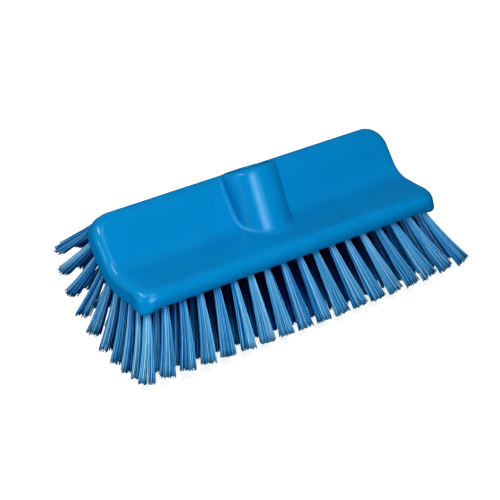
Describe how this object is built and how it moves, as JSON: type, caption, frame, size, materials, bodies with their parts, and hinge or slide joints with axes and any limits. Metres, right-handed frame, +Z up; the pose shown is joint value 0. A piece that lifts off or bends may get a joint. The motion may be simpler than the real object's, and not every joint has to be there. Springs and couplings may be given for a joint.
{
  "type": "angled deck brush head",
  "caption": "Two-level deck scrub brush head: a bent moulded block with a slanted handle socket and fanned bristles for floor, corner and wall.",
  "frame": {"origin": "on the floor under the middle of the brush, at the lowest bristle tips", "axes": "+X along the block, +Y back towards the wall wing and the handle, +Z up"},
  "size_m": [0.2688, 0.131, 0.1008],
  "materials": {
    "block": "smooth glossy moulded plastic",
    "bristles": "fine stiff filaments with a soft sheen"
  },
  "bodies": {
    "root": {"brush_block": "block", "toe_bristles": "bristles", "floor_bristles": "bristles", "heel_bristles": "bristles", "wall_bristles": "bristles"}
  },
  "joints": []
}
